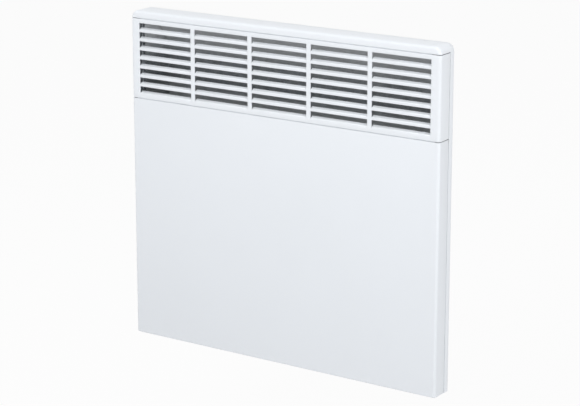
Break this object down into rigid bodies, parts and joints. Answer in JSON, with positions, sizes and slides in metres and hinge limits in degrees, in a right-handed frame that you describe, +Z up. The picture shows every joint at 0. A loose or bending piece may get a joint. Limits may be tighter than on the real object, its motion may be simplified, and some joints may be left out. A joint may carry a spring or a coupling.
{
  "type": "wall panel convector heater",
  "caption": "Flat white sheet-steel wall convector heater with a louvred outlet along the top, underside controls and a hook-on wall bracket.",
  "frame": {"origin": "middle of the wall bracket's upper rail, on the wall face; the casing's bottom edge is 330 mm below it", "axes": "+X to the right as seen from the room, +Y into the wall, +Z up"},
  "size_m": [0.46, 0.078, 0.4496],
  "materials": {
    "white_paint": "satin white polyester powder coat, fine grain",
    "galvanised": "hot-dip galvanised sheet, faint spangle",
    "aluminium": "mill finish",
    "steel": "zinc-plated or plain steel, turned",
    "ceramic": "unglazed steatite",
    "brass": "pressed, slightly dull",
    "white_plastic": "moulded, fine spark-eroded grain",
    "grey_plastic": "moulded, satin",
    "black_plastic": "moulded, satin",
    "amber_lens": "clear amber, polished",
    "circuit_board": "green solder mask",
    "brown_lead": "silicone sleeve",
    "blue_lead": "silicone sleeve",
    "white_lead": "silicone sleeve",
    "black_rubber": "moulded"
  },
  "bodies": {
    "bracket": {"wall_bracket": "galvanised"},
    "left_latch": {"latch_left": "black_plastic"},
    "right_latch": {"latch_right": "black_plastic"},
    "heater": {"front_panel": "white_paint", "outlet_grille": "white_paint", "casing_frame": "white_paint", "rear_tray": "galvanised", "inlet_guard": "galvanised", "tray_screw_1": "steel", "tray_screw_2": "steel", "tray_screw_3": "steel", "tray_screw_4": "steel", "bottom_screw_1": "steel", "bottom_screw_2": "steel", "bottom_screw_3": "steel", "bottom_screw_4": "steel", "heat_deflector": "galvanised", "deflector_cheek_left": "galvanised", "deflector_cheek_right": "galvanised", "heat_shield": "aluminium", "heating_element": "aluminium", "element_rod": "steel", "element_bracket_left": "galvanised", "element_bracket_right": "galvanised", "element_bush_left": "ceramic", "element_bush_right": "ceramic", "terminal_insulator_left": "ceramic", "terminal_insulator_right": "ceramic", "terminal_tab_left": "brass", "terminal_tab_right": "brass", "element_screw_left": "steel", "element_screw_right": "steel", "cutout_holder": "galvanised", "thermal_cutout": "black_plastic", "cutout_screw": "steel", "probe_clip": "white_plastic", "temperature_probe": "brass", "probe_screw": "steel", "control_housing": "grey_plastic", "control_fascia": "white_plastic", "thermostat_regulator": "black_plastic", "mode_switch": "black_plastic", "rocker_housing": "black_plastic", "indicator_lens": "amber_lens", "control_board": "circuit_board", "relay": "black_plastic", "board_capacitor": "black_plastic", "terminal_block": "white_plastic", "cable_gland": "black_rubber", "lead_element_right": "brown_lead", "lead_element_left": "blue_lead", "lead_cutout": "brown_lead", "lead_probe": "white_lead"},
    "thermostat": {"thermostat_knob": "grey_plastic", "thermostat_shaft": "steel"},
    "mode_selector": {"mode_knob": "grey_plastic", "mode_shaft": "steel"},
    "on_off_rocker": {"power_rocker": "black_plastic"}
  },
  "joints": [
    {"name": "heater_lift", "type": "slide", "parent": "bracket", "child": "heater", "axis": [0, 0, 1], "range_m": [0, 0.012]},
    {"name": "left_latch_turn", "type": "hinge", "parent": "bracket", "child": "left_latch", "pos_m": [-0.125, -0.0138, -0.286], "axis": [0, 1, 0], "range_deg": [0, 90]},
    {"name": "right_latch_turn", "type": "hinge", "parent": "bracket", "child": "right_latch", "pos_m": [0.125, -0.0138, -0.286], "axis": [0, 1, 0], "range_deg": [-90, 0]},
    {"name": "thermostat_turn", "type": "hinge", "parent": "heater", "child": "thermostat", "pos_m": [0.186, -0.039, -0.334], "axis": [0, 0, -1], "range_deg": [0, 270]},
    {"name": "mode_turn", "type": "hinge", "parent": "heater", "child": "mode_selector", "pos_m": [0.15, -0.039, -0.334], "axis": [0, 0, -1], "range_deg": [0, 120]},
    {"name": "rocker_tilt", "type": "hinge", "parent": "heater", "child": "on_off_rocker", "pos_m": [0.118, -0.039, -0.3259], "axis": [1, 0, 0], "range_deg": [0, 14]}
  ]
}
